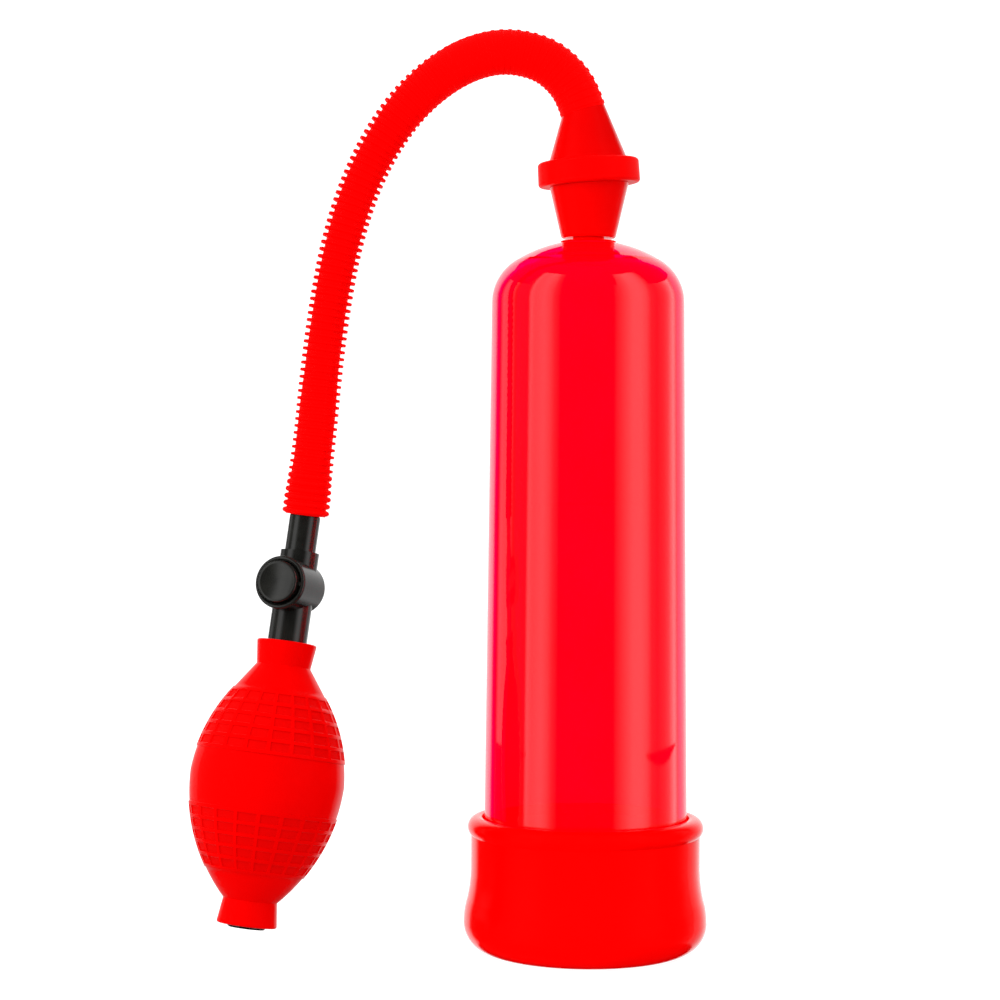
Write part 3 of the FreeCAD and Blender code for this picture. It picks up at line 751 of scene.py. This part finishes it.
def wall_glow(name):
    """Light whose strength changes with the direction from the cylinder's axis."""
    material = bpy.data.materials.new(name)
    material.use_nodes = True
    tree = material.node_tree
    nodes, links = tree.nodes, tree.links
    nodes.clear()
    place = nodes.new("ShaderNodeTexCoord")
    split = nodes.new("ShaderNodeSeparateXYZ")
    away = nodes.new("ShaderNodeMath")
    away.operation = "MULTIPLY"
    away.inputs[1].default_value = -1.0
    bearing = nodes.new("ShaderNodeMath")
    bearing.operation = "ARCTAN2"
    ramp = nodes.new("ShaderNodeValToRGB")
    brightest = max(level for azimuth, level in WALL_LIGHT)
    stops = ramp.color_ramp.elements
    stops.remove(stops[-1])
    for i, (azimuth, level) in enumerate(WALL_LIGHT):
        share = (azimuth + 180) / 360
        stop = stops[0] if i == 0 else stops.new(share)
        stop.position = share
        stop.color = (level / brightest,) * 3 + (1.0,)
    glow = nodes.new("ShaderNodeEmission")
    glow.inputs["Strength"].default_value = brightest
    out = nodes.new("ShaderNodeOutputMaterial")
    links.new(place.outputs["Object"], split.inputs["Vector"])
    links.new(split.outputs["Y"], away.inputs[0])
    links.new(split.outputs["X"], bearing.inputs[0])
    links.new(away.outputs[0], bearing.inputs[1])
    links.new(remapped(tree, bearing.outputs[0], (-math.pi, math.pi)), ramp.inputs["Fac"])
    links.new(ramp.outputs["Color"], glow.inputs["Color"])
    links.new(glow.outputs["Emission"], out.inputs["Surface"])
    return material


floor_white = principled("floor_white", (FLOOR_GREY,) * 3, Roughness=0.9,
                         Emission_Color=(1.0, 1.0, 1.0, 1.0), Emission_Strength=FLOOR_GLOW)
floor = stage_mesh("floor", build_floor, floor_white)
floor.visible_glossy = False
floor.visible_diffuse = False
wall = stage_mesh("softbox_ring", build_wall, wall_glow("softboxes"))
wall.visible_camera = False
wall.visible_diffuse = False
wall.visible_transmission = False
wall.visible_shadow = False


def build_world():
    """Pale surroundings that are a little brighter on the left and above."""
    surroundings = bpy.data.worlds.new("studio")
    bpy.context.scene.world = surroundings
    surroundings.use_nodes = True
    nodes, links = surroundings.node_tree.nodes, surroundings.node_tree.links
    background = nodes["Background"]
    background.inputs["Color"].default_value = (1, 1, 1, 1)
    place = nodes.new("ShaderNodeTexCoord")
    lean = nodes.new("ShaderNodeVectorMath")
    lean.operation = "DOT_PRODUCT"
    lean.inputs[1].default_value = (WORLD_SIDE, 0.0, WORLD_UP)
    total = nodes.new("ShaderNodeMath")
    total.operation = "ADD"
    total.inputs[1].default_value = WORLD_MIDDLE
    links.new(place.outputs["Generated"], lean.inputs[0])
    links.new(lean.outputs["Value"], total.inputs[0])
    links.new(total.outputs[0], background.inputs["Strength"])
    surroundings.cycles_visibility.glossy = False


build_world()
key_light()

camera_data = bpy.data.cameras.new("camera")
camera_data.sensor_width = SENSOR_WIDTH
camera_data.lens = SENSOR_WIDTH * CAMERA_DISTANCE / WIDTH_AT_AXIS
camera = bpy.data.objects.new("camera", camera_data)
bpy.context.scene.collection.objects.link(camera)
camera.location = (CAMERA_X, -CAMERA_DISTANCE, CAMERA_Z)
view = Vector((CAMERA_X, 0, LOOK_Z)) - camera.location
facing = view.to_track_quat("-Z", "Y").to_matrix().to_4x4()
camera.rotation_euler = (facing @ turn(CAMERA_ROLL, "Z")).to_euler()
bpy.context.scene.camera = camera
bpy.context.scene.view_settings.view_transform = "Standard"
